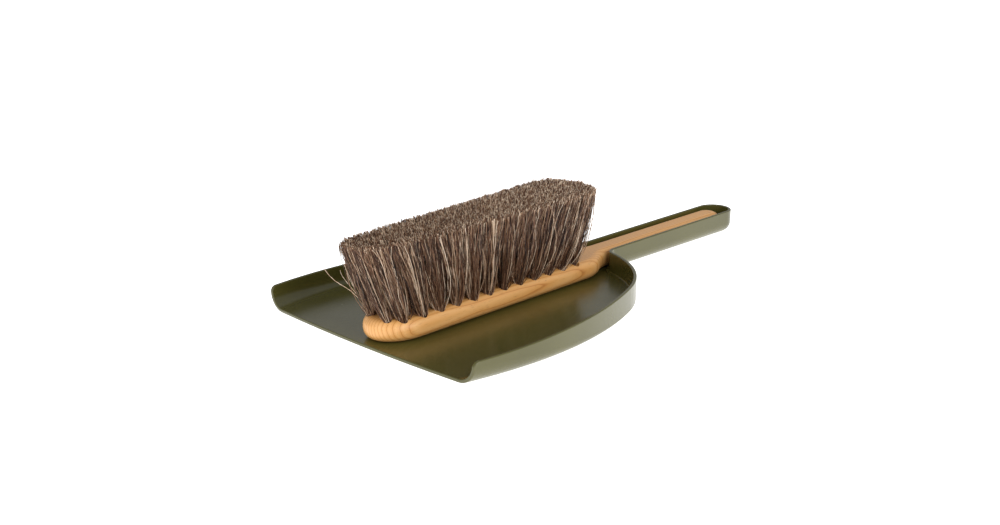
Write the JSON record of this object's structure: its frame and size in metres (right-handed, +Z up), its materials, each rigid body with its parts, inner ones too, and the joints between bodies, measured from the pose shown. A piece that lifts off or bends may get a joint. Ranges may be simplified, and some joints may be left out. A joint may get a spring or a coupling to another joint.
{
  "type": "dust pan and brush set",
  "caption": "Moulded dust pan with a channel handle that holds a wooden hand brush, natural hair tufts upwards; the brush lifts out.",
  "frame": {"origin": "under the pan, on the surface it stands on, half way along the pan and on its line of symmetry", "axes": "+Z up, -Y out over the lip of the pan, +Y along both handles, +X across the pan"},
  "size_m": [0.196, 0.3854, 0.066],
  "materials": {
    "pan_plastic": "semi-gloss moulded olive green",
    "beech": "clear satin varnish",
    "horsehair": "natural wavy hair, trimmed flat",
    "anchor_wire": "drawn flat wire"
  },
  "bodies": {
    "pan": {"dust_pan": "pan_plastic"},
    "brush": {"brush_stock": "beech", "tuft_anchors": "anchor_wire", "tufts_rank_01": "horsehair", "tufts_rank_02": "horsehair", "tufts_rank_03": "horsehair", "tufts_rank_04": "horsehair", "tufts_rank_05": "horsehair", "tufts_rank_06": "horsehair", "tufts_rank_07": "horsehair", "tufts_rank_08": "horsehair", "tufts_rank_09": "horsehair", "tufts_rank_10": "horsehair", "tufts_rank_11": "horsehair", "tufts_rank_12": "horsehair", "tufts_rank_13": "horsehair", "tufts_rank_14": "horsehair", "tufts_rank_15": "horsehair", "tufts_rank_16": "horsehair", "tufts_rank_17": "horsehair", "tufts_rank_18": "horsehair", "tufts_rank_19": "horsehair", "tufts_rank_20": "horsehair", "tufts_rank_21": "horsehair", "tufts_rank_22": "horsehair", "tufts_rank_23": "horsehair", "tufts_rank_24": "horsehair"}
  },
  "joints": [
    {"name": "lift_out", "type": "slide", "parent": "pan", "child": "brush", "axis": [0, 0, 1], "range_m": [0, 0.12]}
  ]
}
